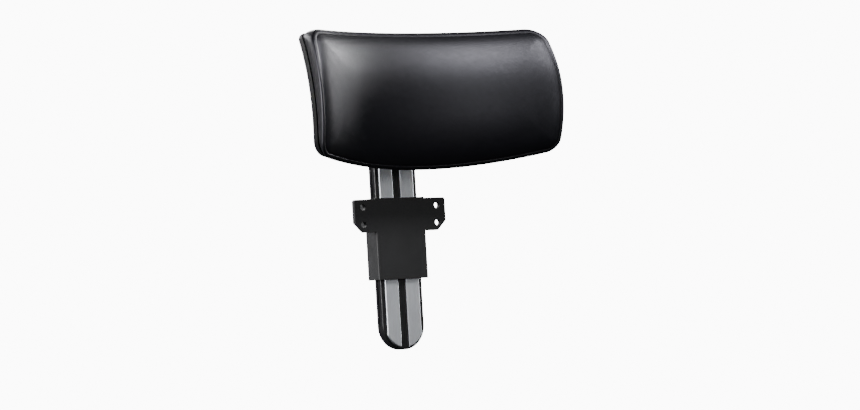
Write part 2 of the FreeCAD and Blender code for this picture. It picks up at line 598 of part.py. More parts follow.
def depth_at(depth, radius, apex, x, z):
    """Formula for how far forward a saddle stands at (x, z)."""
    middle_depth = f"({depth} - {radius} + sqrt(({radius})^2 - (({z}) - ({apex}))^2))"
    return f"(wrap_centre - sqrt((wrap_centre - {middle_depth})^2 - ({x})^2))"


def carrier_back_depth(x, z):
    offset = "(carrier_back_gap + shell_wall - shell_depth)"
    return depth_at(f"(rim_depth + {offset})", f"(rim_radius + {offset})", "rim_apex", x, z)


BOLT_PLACES = [(side, level, f"{sx} * bracket_bolt_x", f"{sz} * bracket_bolt_z")
               for side, sx in SIDES for level, sz in (("upper", 1), ("lower", -1))]
SCREW_PLACES = [(f"{side}_{place_name}", f"{sx} * {x}", f"{sz} * shell_screw_z")
                for side, sx in SIDES
                for place_name, x, sz in (("upper_outer", "shell_screw_x", 1),
                                          ("lower_outer", "shell_screw_x", -1),
                                          ("lower_inner", "shell_screw_mid_x", -1))]
PEDESTAL_BACK = "-(plate_back + plate_thick)"


def rear_shell():
    """Moulded back shell: a dished skin with a rim, a pedestal for the bracket and bosses."""
    full = layer("shell_full", SHELL, "0", behind_rim("shell_back", "-shell_depth"),
                 behind_rim("rim", "0"))
    soft = rounded("shell_soft", full, "shell_round",
                   lambda e: on_saddle(e, "rim_depth - shell_depth", "rim_radius - shell_depth",
                                       "rim_apex"))
    wide, high = "(plate_half + pedestal_margin)", "(plate_height_half + pedestal_margin)"
    pedestal = box("pedestal", wide, ("-pedestal_front", PEDESTAL_BACK), (f"-{high}", high))
    pedestal_soft = rounded("pedestal_soft", pedestal, "pedestal_corner",
                            lambda e: runs_along(e, Vector(0, 1, 0)))
    inner = layer("shell_inner", SHELL, "shell_wall", behind_rim("skin", "shell_wall - shell_depth"),
                  behind_rim("rim_clear", "overcut"))
    stand = cut("pedestal_stand", pedestal_soft, behind_rim_front())
    outer = fuse("shell_outer", soft, stand)
    wall = "pedestal_wall"
    room = box("pedestal_room", f"{wide} - {wall}", (FAR_AHEAD, f"{PEDESTAL_BACK} - {wall}"),
               (f"-{high} + {wall}", f"{high} - {wall}"))
    hollow = cut("shell_hollow", outer, inner, room)
    solids = [hollow]
    holes = []
    for side, level, x, z in BOLT_PLACES:
        end = f"-{carrier_back_depth('bracket_bolt_x - boss_radius', z)} + boss_gap"
        solids.append(rod(f"{side}_{level}_boss", "boss_radius", end, PEDESTAL_BACK, "Y", x=x, z=z))
        holes.append(rod(f"{side}_{level}_boss_hole", "bracket_bolt_radius + bolt_play",
                         FAR_AHEAD, "0", "Y", x=x, z=z))
    for spot, x, z in SCREW_PLACES:
        board_back = carrier_back_depth(x, z)
        solids.append(rod(f"{spot}_screw_boss", "screw_boss_radius", f"-({board_back} - screw_boss_gap)",
                          f"-({board_back} - screw_boss_end)", "Y", x=x, z=z))
        holes.append(rod(f"{spot}_screw_clear", "shell_screw_clear", FAR_AHEAD, "0", "Y", x=x, z=z))
        holes.append(rod(f"{spot}_screw_well", "screw_well_radius",
                         f"-({board_back} - screw_seat_depth)", "0", "Y", x=x, z=z))
    hang_on_pad("rear_shell", cut("shell", fuse("shell_bossed", *solids), *holes))


def behind_rim_front():
    """Space in front of the shell's skin, which trims the pedestal."""
    room = box("front_room", "pad_half_width", PAD_SPACE, ("pad_bottom", "pad_top"))
    return cut("skin_front", room, behind_rim("skin_outer", "pedestal_bite - shell_depth"))


def carrier_board():
    """Curved plywood board that the cover is stretched over and everything is bolted to."""
    offset = "(carrier_back_gap + shell_wall - shell_depth)"
    board = layer("board", SHELL, "carrier_inset", behind_rim("board_back", offset),
                  behind_rim("board_front", f"{offset} + carrier_thick"))
    tools = []
    for side, level, x, z in BOLT_PLACES:
        tools.append(rod(f"{side}_{level}_tee_hole", "tee_barrel_radius + tee_barrel_play", FAR_AHEAD,
                         "0", "Y", x=x, z=z))
        tools.append(rod(f"{side}_{level}_tee_seat", "tee_nut_radius + tee_seat_play", FAR_AHEAD,
                         "-tee_nut_seat", "Y", x=x, z=z))
    for spot, x, z in SCREW_PLACES:
        tools.append(rod(f"{spot}_board_pilot", "shell_screw_radius", FAR_AHEAD, "0", "Y", x=x, z=z))
    hang_on_pad("carrier_board", cut("board_finished", board, *tools))


def pad_fasteners():
    """Bracket bolts with their tee nuts, and the screws that hold the shell to the board."""
    bolts, nuts, screws = [], [], []
    for side, level, x, z in BOLT_PLACES:
        name = f"{side}_{level}"
        bolt = fuse(f"{name}_bolt_solid",
                    rod(f"{name}_bolt_shank", "bracket_bolt_radius", "-tee_nut_seat - bolt_past_seat",
                        "-plate_back", "Y", x=x, z=z),
                    rod(f"{name}_bolt_head", "bolt_head_radius", "-plate_back",
                        "-plate_back + bolt_head_thick", "Y", x=x, z=z))
        socket = hexagon(f"{name}_bolt_socket", "bolt_socket_flats", "-plate_back + bolt_socket_floor",
                         "-plate_back + bolt_head_thick + overcut", "Y", x=x, z=z)
        bolts.append(cut(f"{name}_bolt", bolt, socket))
        nut = fuse(f"{name}_tee_solid",
                   rod(f"{name}_tee_flange", "tee_nut_radius", "-tee_nut_seat - tee_flange_thick",
                       "-tee_nut_seat", "Y", x=x, z=z),
                   rod(f"{name}_tee_barrel", "tee_barrel_radius", "-tee_nut_seat",
                       "-tee_nut_seat + tee_barrel_length", "Y", x=x, z=z))
        bore = rod(f"{name}_tee_bore", "bracket_bolt_radius + thread_play", FAR_AHEAD, "0", "Y", x=x, z=z)
        nuts.append(cut(f"{name}_tee", nut, bore))
    for spot, x, z in SCREW_PLACES:
        seat = f"-({carrier_back_depth(x, z)} - screw_seat_depth)"
        screws.append(fuse(f"{spot}_screw",
                           rod(f"{spot}_screw_shank", "shell_screw_radius",
                               f"{seat} - shell_screw_length", seat, "Y", x=x, z=z),
                           cone(f"{spot}_screw_head", "shell_head_radius", "shell_head_top_radius",
                                seat, f"{seat} + shell_head_thick", "Y", x=x, z=z)))
    hang_on_pad("bracket_bolts", group("bolt_set", *bolts))
    hang_on_pad("tee_nuts", group("tee_set", *nuts))
    hang_on_pad("shell_screws", group("screw_set", *screws))


def on_saddle(edge, depth, radius, apex):
    """True for an outline edge that lies on a saddle surface."""
    point = middle(edge)
    forward = size(depth_at(f"({depth})", f"({radius})", apex, str(point.x), str(point.z)))
    return abs(-point.y - forward) < CLOSE and abs(point.z - DIMENSIONS[apex]) > CLOSE


def soft_block(name, inset, rear):
    """Crowned block of the upholstery: front edge rounded over, sides tapering in towards the rim."""
    crest = f"crown - {inset}"
    block = layer(name, LEATHER, inset, behind_rim(f"{name}_rear", rear), behind_seam(f"{name}_crest", crest))
    soft = rounded(f"{name}_round", block, "front_edge_round",
                   lambda e: on_saddle(e, f"seam_depth + {crest}", f"seam_radius + {crest}", "seam_apex"))
    doc.recompute()
    tapered = doc.addObject("Part::Chamfer", f"{name}_tapered")
    tapered.Base = soft
    along, across = DIMENSIONS["taper_depth"], DIMENSIONS["band_inset"]
    tapered.Edges = [(k, along, across) for k, edge in enumerate(soft.Shape.Edges, start=1)
                     if on_saddle(edge, f"rim_depth + {rear}", f"rim_radius + {rear}", "rim_apex")]
    return tapered


def upholstery():
    """Foam core with a sewn cover of two pieces: a front panel and a side band."""
    core = soft_block("foam", "leather", "(rim_gap - skin_lap)")
    bag = soft_block("cover", "0", "rim_gap")
    skin = cut("cover_skin", bag, core)
    rooms = [rod(f"{side}_{level}_tee_room", "tee_nut_radius + tee_room_play",
                 "-tee_nut_seat - tee_room_front", "-tee_nut_seat + tee_room_back", "Y", x=x, z=z)
             for side, level, x, z in BOLT_PLACES]
    hang_on_pad("foam_core", cut("foam_finished", core, *rooms))
    hang_on_pad("side_band_cover", common("band", skin, behind_seam("seam_behind", "0")))
    hang_on_pad("front_panel_cover", cut("panel", skin, behind_seam("seam_ahead", "seam_gap")))


def write_steps():
    """Check every object, then write each sub-part to its own file."""
    doc.recompute()
    for item in doc.Objects:
        if "Invalid" in item.State or "Error" in item.State:
            raise RuntimeError(f"{item.Name} did not build: {item.State}")
    os.makedirs("parts", exist_ok=True)
    for item in SUB_PARTS:
        shape = item.Shape
        if shape.isNull() or not shape.isValid() or not shape.Solids:
            raise RuntimeError(f"{item.Label} has no valid solid")
        shape.exportStep(f"parts/{item.Label}.step")
        print(f"{item.Label}: {len(shape.Solids)} solid(s), {shape.Volume / 1000:.2f} cm3")


stem()
trim_bars()
receiver_housing()
receiver_back_cover()
guide_liner("upper_guide_liner", "housing_top - liner_height", "housing_top")
guide_liner("lower_guide_liner", "housing_bottom", "housing_bottom + liner_height")
detent_leaf_spring()
stop_pin()
hinge_bushes()
hinge_bracket()
hinge_hardware()
hinge_caps()
rear_shell()
carrier_board()
pad_fasteners()
upholstery()
write_steps()
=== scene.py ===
"""Looks for the chair headrest attachment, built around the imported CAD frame.

Scene lengths are in metres; the pad's own geometry is worked out in mm about its hinge axis.
"""
import json
import math

import bmesh
import bpy
import numpy as np
from mathutils import Matrix, Vector
from mathutils.kdtree import KDTree


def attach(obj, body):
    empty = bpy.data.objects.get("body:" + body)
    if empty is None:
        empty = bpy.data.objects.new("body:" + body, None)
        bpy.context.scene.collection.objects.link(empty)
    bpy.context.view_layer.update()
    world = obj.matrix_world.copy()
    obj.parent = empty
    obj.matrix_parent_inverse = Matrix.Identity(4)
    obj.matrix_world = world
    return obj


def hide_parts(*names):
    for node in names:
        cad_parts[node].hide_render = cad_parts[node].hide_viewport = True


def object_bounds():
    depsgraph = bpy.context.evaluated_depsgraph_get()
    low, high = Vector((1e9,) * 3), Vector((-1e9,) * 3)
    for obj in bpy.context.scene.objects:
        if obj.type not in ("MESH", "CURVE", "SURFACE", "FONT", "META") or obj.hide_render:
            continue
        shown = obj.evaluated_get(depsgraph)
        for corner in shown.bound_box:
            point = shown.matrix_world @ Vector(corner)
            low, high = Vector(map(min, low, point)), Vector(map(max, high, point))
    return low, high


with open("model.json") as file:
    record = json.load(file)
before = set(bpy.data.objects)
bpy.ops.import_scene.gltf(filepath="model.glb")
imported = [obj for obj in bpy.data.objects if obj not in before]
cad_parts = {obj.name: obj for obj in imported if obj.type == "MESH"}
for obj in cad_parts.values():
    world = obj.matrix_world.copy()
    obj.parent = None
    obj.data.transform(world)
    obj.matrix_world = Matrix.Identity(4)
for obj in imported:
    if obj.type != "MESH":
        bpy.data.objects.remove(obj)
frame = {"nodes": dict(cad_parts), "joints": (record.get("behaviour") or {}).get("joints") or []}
cad_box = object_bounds()
MM = 0.001

# -------------------------------------------------- pad geometry in mm, as in the CAD design
REST_TILT = math.radians(6)
TILT_JOINT = next(j for j in frame["joints"] if j["name"] == "pad_tilt")
HINGE = np.array(TILT_JOINT["pos_m"])
# outlines: half-width, top, bottom, upper corner, lower corner
RIDGE_OUTLINE = np.array([145.3, 69.3, -73.0, 17.0, 11.0])
SHELL_OUTLINE = np.array([141.4, 68.6, -68.2, 7.0, 16.5])
SIDE_ARC, SIDE_MIDDLE, TOP_ARC, BOTTOM_ARC = 567, -5.8, 4230, 957
# saddles: depth in the middle, radius in height, height of the apex
SEAM = (53.1, 173.2, 2.5)
RIM = (36.1, 174.6, -6.7)
WRAP_CENTRE = 338
# the medial line that rings shrink to: half-length, how far short of the sides it ends, height,
# and the shares of the way from the last ring to it that get a ring of their own
CORE_HALF, CORE_SHORT_BY, CORE_HEIGHT = 78, 36, -2.0
CORE_STEPS = (0.25, 0.5, 0.75, 1.0)
# points in a ring, and how an outline is searched for: directions, a reach that is surely
# outside, halvings, and the shares of the way to the medial line that a ring can lie between
STATIONS = 440
DIRECTIONS, SURELY_OUTSIDE, EDGE_HALVINGS, RING_HALVINGS = 4001, 260.0, 40, 30
OUTERMOST, INNERMOST = -0.2, 0.995

# -------------------------------------------------- the leather's own sizes in mm
# edge tucked in front of the shell: gap, insets of its flat part, radius and inset of its roll
TUCK, FLAT_INSETS, ROLL, ROLL_INSET, ROLL_RINGS = 0.9, (6.0, 3.0), 1.5, 1.9, 6
# side band: bulge and its power, inset next to the roll, share of the width that its rings span
BAND_BULGE, BULGE_POWER, BAND_INSET, BAND_RINGS = 1.0, 0.8, 0.4, 18
BAND_FROM, BAND_TO, BAND_GIVE = 0.06, 0.94, 0.5
# ridge: radius at the sides and along the top, the heights between which its sharp seam fades
# out, and the angles of its roll in degrees
RIDGE_ROUND, TOP_ROUND = 2.8, 4.5
SEAM_FADES_FROM, SEAM_GONE_AT = 12.0, 54.0
RIDGE_FROM, RIDGE_TO, RIDGE_RINGS = 10, 80, 8
# crease of the seam: distances past the ridge with their drops, and the slope it rises at
CREASE = ((0.2, 0.04), (0.45, 0.2), (0.7, 0.32), (0.95, 0.2), (1.2, 0.05))
CREASE_SLOPE = 0.15
# front panel: lift off the seam's saddle, crown, how far in the crown starts and builds up, its
# power, where the two ridge radii have evened out, and where the leather is free to move
LIFT, CROWN, CROWN_FROM, CROWN_REACH, CROWN_POWER = 0.2, 4.5, 0.9, 8.0, 1.1
EVEN_AT, FREE_AT = 30, 50
PANEL_RINGS = [*np.arange(1.5, 10, 0.8), *np.arange(10, 28, 1.5), *np.arange(28, 62, 2.5)]

# -------------------------------------------------- cloth blown up over the foam, in metres
WELD, VOXEL, FRAMES = 0.00005, 0.005, 20
QUALITY, MASS, STIFFNESS, BENDING, PRESSURE = 6, 0.2, 30, 2.0, 4.0
# how its movement is passed on: limit, nearest points asked, how near counts, least values
CAP, NEIGHBOURS, NEAR = 0.0008, 12, 0.007
LEAST_WEIGHT, LEAST_LENGTH = 1e-6, 1e-9

# -------------------------------------------------- shaders
SPECULAR = "Specular IOR Level"
MIX_FACTOR, MIX_FIRST, MIX_SECOND, MIX_COLOUR = 0, 6, 7, 2

# -------------------------------------------------- stage
SURROUND_LIGHT, SURROUND_SEEN = 0.025, 11.0
FLOOR_RADIUS, FLOOR_DROP, FLOOR_SIDES = 3.0, 0.25, 96
LEAN = math.radians(6.25)
CAMERA_TURN, CAMERA_RISE = math.radians(32), math.radians(3.2)
CAMERA_DISTANCE, LENS, SENSOR_WIDTH, FAR_CLIP = 3.5, 141.9, 36, 50
# the camera stands off from this point and looks a little to the right of it and above it
ANCHOR = Vector((0, 0.001, 0))
AIM_RIGHT, AIM_UP = 0.0309, 0.0102
# lights: turn from straight ahead towards +X, rise, distance, width, height, power
LIGHTS_AIM = Vector((0, -0.03, 0.1))
LIGHTS = {
    "key": (11, 46, 1.6, 0.55, 0.45, 18),
    "key_side": (38, 44, 1.6, 0.6, 0.35, 6),
    "front_low": (10, 6, 1.8, 0.35, 0.5, 2.4),
    "right_upper": (100, 25, 1.8, 0.45, 0.3, 22),
    "right_lower": (88, 4, 1.8, 0.3, 0.5, 16),
    "left_edge": (-60, 10, 1.8, 0.25, 0.9, 9),
    "left_ridge": (-95, 6, 1.8, 0.45, 0.9, 42),
    "left_back": (-118, 10, 1.8, 0.7, 0.9, 5),
    "behind_left": (-168, 22, 1.8, 0.8, 0.6, 9),
    "behind_right": (150, 22, 1.8, 0.8, 0.6, 14),
    "metal_glow": (33, 2, 1.8, 0.3, 0.4, 0.3),
}


# -------------------------------------------------- pad shape
def edge_distance(x, z, outline=RIDGE_OUTLINE):
    """Signed distance in mm to an outline in the pad's own plan, negative inside."""
    half_width, top_height, bottom_height, top_corner, bottom_corner = outline
    top = np.hypot(x, z - (top_height - TOP_ARC)) - TOP_ARC
    bottom = np.hypot(x, z - (bottom_height + BOTTOM_ARC)) - BOTTOM_ARC
    ends = np.hypot(np.abs(x) + SIDE_ARC - half_width, z - SIDE_MIDDLE) - SIDE_ARC
    corner = np.where(z > 0, top_corner, bottom_corner)
    a, b = np.maximum(top, bottom) + corner, ends + corner
    outside = np.hypot(np.maximum(a, 0), np.maximum(b, 0))
    return np.minimum(np.maximum(a, b), 0) + outside - corner


def saddle(surface, x, z):
    """How far forward of the hinge axis a saddle surface stands, in mm."""
    depth, radius, apex = surface
    section = depth - radius + np.sqrt(radius**2 - (z - apex) ** 2)
    return WRAP_CENTRE - np.sqrt((WRAP_CENTRE - section) ** 2 - x**2)


def in_row(x, forward, z):
    """Points of the pad, in mm about the hinge axis, as row-frame metres at the rest tilt."""
    y = -forward
    c, s = math.cos(REST_TILT), math.sin(REST_TILT)
    return np.stack([x, y * c + z * s, -y * s + z * c], axis=-1) * MM + HINGE


def ease(t):
    """A 0 to 1 ramp with soft ends."""
    return t**2 * (3 - 2 * t)


def turns(first, last, count):
    """Cosine and sine of evenly spaced angles given in degrees."""
    angles = [math.radians(a) for a in np.linspace(first, last, count)]
    return [(math.cos(a), math.sin(a)) for a in angles]


def last_where(holds, low, high, halvings):
    """For each station, the largest value between low and high at which holds is still true."""
    for _ in range(halvings):
        mid = (low + high) / 2
        held = holds(mid)
        low, high = np.where(held, mid, low), np.where(held, high, mid)
    return low


def stations():
    """Evenly spaced points round the outline, with the point each ring shrinks towards."""
    angle = np.linspace(0, 2 * math.pi, DIRECTIONS)
    reach = last_where(lambda r: edge_distance(r * np.cos(angle), r * np.sin(angle)) < 0,
                       np.zeros_like(angle), np.full_like(angle, SURELY_OUTSIDE), EDGE_HALVINGS)
    x, z = reach * np.cos(angle), reach * np.sin(angle)
    length = np.concatenate([[0], np.cumsum(np.hypot(np.diff(x), np.diff(z)))])
    at = np.linspace(0, length[-1], STATIONS, endpoint=False)
    x, z = np.interp(at, length, x), np.interp(at, length, z)
    core_x = CORE_HALF * np.clip(x / (RIDGE_OUTLINE[0] - CORE_SHORT_BY), -1, 1)
    return np.stack([x, z], 1), np.stack([core_x, np.full_like(core_x, CORE_HEIGHT)], 1)


def inset_ring(edge, core, inset, outline):
    """An outline drawn in by inset mm, cut where each station's line to its core point meets it."""
    def along(share):
        return edge + (core - edge) * share[:, None]

    share = last_where(lambda s: edge_distance(*along(s).T, outline) > -inset,
                       np.full(len(edge), OUTERMOST), np.full(len(edge), INNERMOST), RING_HALVINGS)
    return along(share)


def with_depth(plan, forward):
    """Plan points (x, z) as pad points (x, forward, z)."""
    return np.stack([plan[:, 0], forward, plan[:, 1]], 1)


def panel_crown(inset):
    """How far the front panel stands proud of the seam's saddle, by distance in from its seam."""
    return CROWN * (1 - np.exp(-((np.maximum(inset, 0) / CROWN_REACH) ** CROWN_POWER)))


def pad_rings():
    """Rings of points in mm, how far each may give, and the medial line they shrink to."""
    edge, core = stations()
    rings, gives = [], []
    sharp = (SEAM_GONE_AT - edge[:, 1]) / (SEAM_GONE_AT - SEAM_FADES_FROM)
    sharp = ease(np.clip(sharp, 0, 1))
    ridge = RIDGE_ROUND * sharp + TOP_ROUND * (1 - sharp)

    def add(inset, forward, outline=RIDGE_OUTLINE, give=0.0):
        """One ring; forward turns the depths of the rim's and the seam's saddle into its own."""
        plan = inset_ring(edge, core, inset, outline)
        rings.append(with_depth(plan, forward(saddle(RIM, *plan.T), saddle(SEAM, *plan.T))))
        gives.append(give)

    # the turned-under edge in the gap at the shell's rim
    for inset in FLAT_INSETS:
        add(inset, lambda rim, seam: rim + TUCK, SHELL_OUTLINE)
    for c, s in turns(0, 90, ROLL_RINGS):
        add(ROLL_INSET - ROLL * s, lambda rim, seam: rim + TUCK + ROLL * (1 - c), SHELL_OUTLINE)
    # the band, widening from the shell's outline to the ridge's and bulging a little
    for t in np.linspace(BAND_FROM, BAND_TO, BAND_RINGS):
        bulge = BAND_BULGE * math.sin(math.pi * t) ** BULGE_POWER
        add(BAND_INSET * (1 - t) - bulge,
            lambda rim, seam: (rim + (TUCK + ROLL)) * (1 - t) + (seam - ridge) * t,
            SHELL_OUTLINE * (1 - t) + RIDGE_OUTLINE * t, BAND_GIVE * math.sin(math.pi * t))
    # the rolled ridge
    for c, s in turns(RIDGE_FROM, RIDGE_TO, RIDGE_RINGS):
        add(ridge * (1 - c), lambda rim, seam: seam - ridge * (1 - s))
    # the seam's crease, just inside the ridge
    for past, drop in CREASE:
        add(ridge + past, lambda rim, seam: seam - drop * sharp + CREASE_SLOPE * past)
    # the crowned front panel
    for past in PANEL_RINGS:
        inset = past + RIDGE_ROUND + (ridge - RIDGE_ROUND) * max(0.0, 1 - past / EVEN_AT)
        add(inset, lambda rim, seam: seam + LIFT + panel_crown(past - CROWN_FROM),
            give=ease(min(1.0, past / FREE_AT)))
    last = rings[-1][:, [0, 2]]
    for t in CORE_STEPS:
        plan = last * (1 - t) + core * t
        rings.append(with_depth(plan, saddle(SEAM, *plan.T) + LIFT + CROWN))
        gives.append(1.0)
    return rings, gives, core


# -------------------------------------------------- meshes
def mesh_object(name, points, faces):
    """A smooth-shaded object from points and faces, linked to the scene."""
    mesh = bpy.data.meshes.new(name)
    mesh.from_pydata([tuple(p) for p in points], [], faces)
    mesh.validate()
    mesh.polygons.foreach_set("use_smooth", [True] * len(mesh.polygons))
    item = bpy.data.objects.new(name, mesh)
    bpy.context.scene.collection.objects.link(item)
    return item


def ring_faces(rings, count):
    """Quads between neighbouring rings of count points."""
    faces = []
    for r in range(rings - 1):
        for k in range(count):
            a, b = r * count + k, r * count + (k + 1) % count
            faces.append((a, b, b + count, a + count))
    return faces


def ring_mesh(name, rings, gives=None):
    """A mesh through rings; rings on the medial line close up on themselves."""
    item = mesh_object(name, in_row(*np.concatenate(rings).T), ring_faces(len(rings), STATIONS))
    if gives is not None:
        item.data.attributes.new("give", "FLOAT", "POINT")
        item.data.attributes["give"].data.foreach_set("value", np.repeat(gives, STATIONS))
    work = bmesh.new()
    work.from_mesh(item.data)
    bmesh.ops.remove_doubles(work, verts=work.verts, dist=WELD)
    bmesh.ops.recalc_face_normals(work, faces=work.faces)
    work.to_mesh(item.data)
    work.free()
    return item


def points_of(mesh):
    """A mesh's points as an array."""
    points = np.empty(len(mesh.vertices) * 3)
    mesh.vertices.foreach_get("co", points)
    return points.reshape(-1, 3)


def blown_up(rings, core):
    """Blow up a coarse closed copy of the pad as cloth; its points before, and how each moved."""
    back = rings[0][:, [0, 2]]
    closing = []
    for t in reversed(CORE_STEPS):
        plan = back * (1 - t) + core * t
        closing.append(with_depth(plan, saddle(RIM, *plan.T) + TUCK))
    copy = ring_mesh("pad_blown", closing + rings)
    remesh = copy.modifiers.new("voxels", "REMESH")
    remesh.mode = "VOXEL"
    remesh.voxel_size = VOXEL
    bpy.context.view_layer.update()
    evaluated = copy.evaluated_get(bpy.context.evaluated_depsgraph_get())
    plain = bpy.data.meshes.new_from_object(evaluated)
    copy.modifiers.clear()
    copy.data = plain
    before = points_of(plain)
    cloth = copy.modifiers.new("cloth", "CLOTH")
    cloth.settings.quality = QUALITY
    cloth.settings.mass = MASS
    cloth.settings.tension_stiffness = STIFFNESS
    cloth.settings.compression_stiffness = STIFFNESS
    cloth.settings.bending_stiffness = BENDING
    cloth.settings.use_pressure = True
    cloth.settings.uniform_pressure_force = PRESSURE
    cloth.settings.effector_weights.gravity = 0
    cloth.point_cache.frame_start = 1
    cloth.point_cache.frame_end = FRAMES
    for step in range(1, FRAMES + 1):
        bpy.context.scene.frame_set(step)
    evaluated = copy.evaluated_get(bpy.context.evaluated_depsgraph_get())
    after = points_of(evaluated.to_mesh())
    bpy.context.scene.frame_set(1)
    bpy.data.objects.remove(copy)
    return before, after - before


def plump(item, before, moved):
    """Pass the cloth's movement to the fine mesh, fading out towards the rim and the seam."""
    tree = KDTree(len(before))
    for k, point in enumerate(before):
        tree.insert(point, k)
    tree.balance()
    share = item.data.attributes["give"]
    for vertex, give in zip(item.data.vertices, share.data):
        if give.value == 0:
            continue
        total, weight_sum = np.zeros(3), 0.0
        for _, k, distance in tree.find_n(vertex.co, NEIGHBOURS):
            weight = math.exp(-((distance / NEAR) ** 2)) + LEAST_WEIGHT
            total += moved[k] * weight
            weight_sum += weight
        step = total / weight_sum
        length = max(np.linalg.norm(step), LEAST_LENGTH)
        step *= CAP * math.tanh(length / CAP) / length * give.value
        vertex.co = Vector(np.array(vertex.co) + step)


def pad_cover():
    """Leather cover: tucked edge, side band, rolled ridge, seam and crowned front panel."""
    rings, gives, core = pad_rings()
    item = ring_mesh("pad_cover", rings, gives)
    plump(item, *blown_up(rings, core))
    item.data.attributes.remove(item.data.attributes["give"])
    return item


# -------------------------------------------------- materials
def new_material(name):
    """A new material with its nodes, its links and its shader."""
    material = bpy.data.materials.new(name)
    material.use_nodes = True
    nodes = material.node_tree.nodes
    return material, nodes, material.node_tree.links, nodes["Principled BSDF"]


def position(nodes, links, scale=(1, 1, 1)):
    """Object coordinates in metres, stretched by scale."""
    coordinates = nodes.new("ShaderNodeTexCoord")
    mapping = nodes.new("ShaderNodeMapping")
    mapping.inputs["Scale"].default_value = scale
    links.new(coordinates.outputs["Object"], mapping.inputs["Vector"])
    return mapping.outputs["Vector"]


def noise(nodes, links, vector, scale, detail=3.0, roughness=0.5):
    """Noise with scale cells to the metre."""
    node = nodes.new("ShaderNodeTexNoise")
    node.inputs["Scale"].default_value = scale
    node.inputs["Detail"].default_value = detail
    node.inputs["Roughness"].default_value = roughness
    links.new(vector, node.inputs["Vector"])
    return node.outputs["Fac"]


def remap(nodes, links, value, low, high, start=0.3, end=0.7):
    """A value's range from start to end turned into low to high."""
    node = nodes.new("ShaderNodeMapRange")
    node.inputs["From Min"].default_value = start
    node.inputs["From Max"].default_value = end
    node.inputs["To Min"].default_value = low
    node.inputs["To Max"].default_value = high
    links.new(value, node.inputs["Value"])
    return node.outputs["Result"]


def mix_colour(nodes, links, factor, first, second):
    """A colour between first and second."""
    node = nodes.new("ShaderNodeMix")
    node.data_type = "RGBA"
    node.inputs[MIX_FIRST].default_value = (*first, 1)
    node.inputs[MIX_SECOND].default_value = (*second, 1)
    links.new(factor, node.inputs[MIX_FACTOR])
    return node.outputs[MIX_COLOUR]


def bump(nodes, links, height, distance, strength, below=None):
    """A bumped normal, on top of the one below if there is one."""
    node = nodes.new("ShaderNodeBump")
    node.inputs["Distance"].default_value = distance
    node.inputs["Strength"].default_value = strength
    links.new(height, node.inputs["Height"])
    if below is not None:
        links.new(below, node.inputs["Normal"])
    return node.outputs["Normal"]


def leather():
    """Smooth black upholstery leather: fine pebbled pores, faint creases, slight sheen changes."""
    material, nodes, links, shader = new_material("black_leather")
    where = position(nodes, links)
    pores = nodes.new("ShaderNodeTexVoronoi")
    pores.feature = "DISTANCE_TO_EDGE"
    pores.inputs["Scale"].default_value = 1100
    links.new(where, pores.inputs["Vector"])
    pebbles = remap(nodes, links, pores.outputs["Distance"], low=0, high=1, start=0.0, end=0.25)
    fine = noise(nodes, links, where, scale=800)
    broad = noise(nodes, links, where, scale=22)
    patches = noise(nodes, links, where, scale=260)
    pebbled = bump(nodes, links, pebbles, distance=0.00005, strength=0.5)
    grained = bump(nodes, links, fine, distance=0.00004, strength=0.5, below=pebbled)
    creased = bump(nodes, links, broad, distance=0.0006, strength=0.08, below=grained)
    links.new(creased, shader.inputs["Normal"])
    colour = mix_colour(nodes, links, broad, (0.0020, 0.0020, 0.0030), (0.0035, 0.0035, 0.0055))
    links.new(colour, shader.inputs["Base Color"])
    links.new(remap(nodes, links, patches, low=0.38, high=0.44), shader.inputs["Roughness"])
    shader.inputs[SPECULAR].default_value = 0.6
    shader.inputs["Specular Tint"].default_value = (0.90, 0.89, 1.0, 1.0)
    return material


def moulded_plastic(name, dark, light, rough, texture=(1400, 0.00004), sheen=0.5):
    """Injection-moulded plastic; texture is a spark-eroded finish's scale and depth."""
    material, nodes, links, shader = new_material(name)
    where = position(nodes, links)
    scale, depth = texture
    fine = noise(nodes, links, where, scale, roughness=0.6)
    broad = noise(nodes, links, where, scale=35)
    links.new(bump(nodes, links, fine, depth, strength=0.5), shader.inputs["Normal"])
    links.new(mix_colour(nodes, links, broad, dark, light), shader.inputs["Base Color"])
    links.new(remap(nodes, links, broad, *rough), shader.inputs["Roughness"])
    shader.inputs[SPECULAR].default_value = sheen
    return material


def brushed_metal(name, dark, light, rough, along=(1, 1, 1)):
    """Satin metal with fine lines along the direction whose scale is smallest."""
    material, nodes, links, shader = new_material(name)
    lines = noise(nodes, links, position(nodes, links, along), 1500, detail=4, roughness=0.65)
    clouds = noise(nodes, links, position(nodes, links), scale=60)
    relief = bump(nodes, links, lines, distance=0.00002, strength=0.35)
    links.new(relief, shader.inputs["Normal"])
    links.new(mix_colour(nodes, links, clouds, dark, light), shader.inputs["Base Color"])
    links.new(remap(nodes, links, lines, *rough), shader.inputs["Roughness"])
    shader.inputs["Metallic"].default_value = 1.0
    return material


def plywood():
    """Thin plies with grain lines along the board."""
    material, nodes, links, shader = new_material("board_plywood")
    where = position(nodes, links, (0.08, 1, 1))
    grain = noise(nodes, links, where, scale=700, detail=5, roughness=0.6)
    colour = mix_colour(nodes, links, grain, (0.33, 0.20, 0.10), (0.62, 0.45, 0.27))
    links.new(colour, shader.inputs["Base Color"])
    relief = bump(nodes, links, grain, distance=0.00005, strength=0.5)
    links.new(relief, shader.inputs["Normal"])
    shader.inputs["Roughness"].default_value = 0.7
    return material


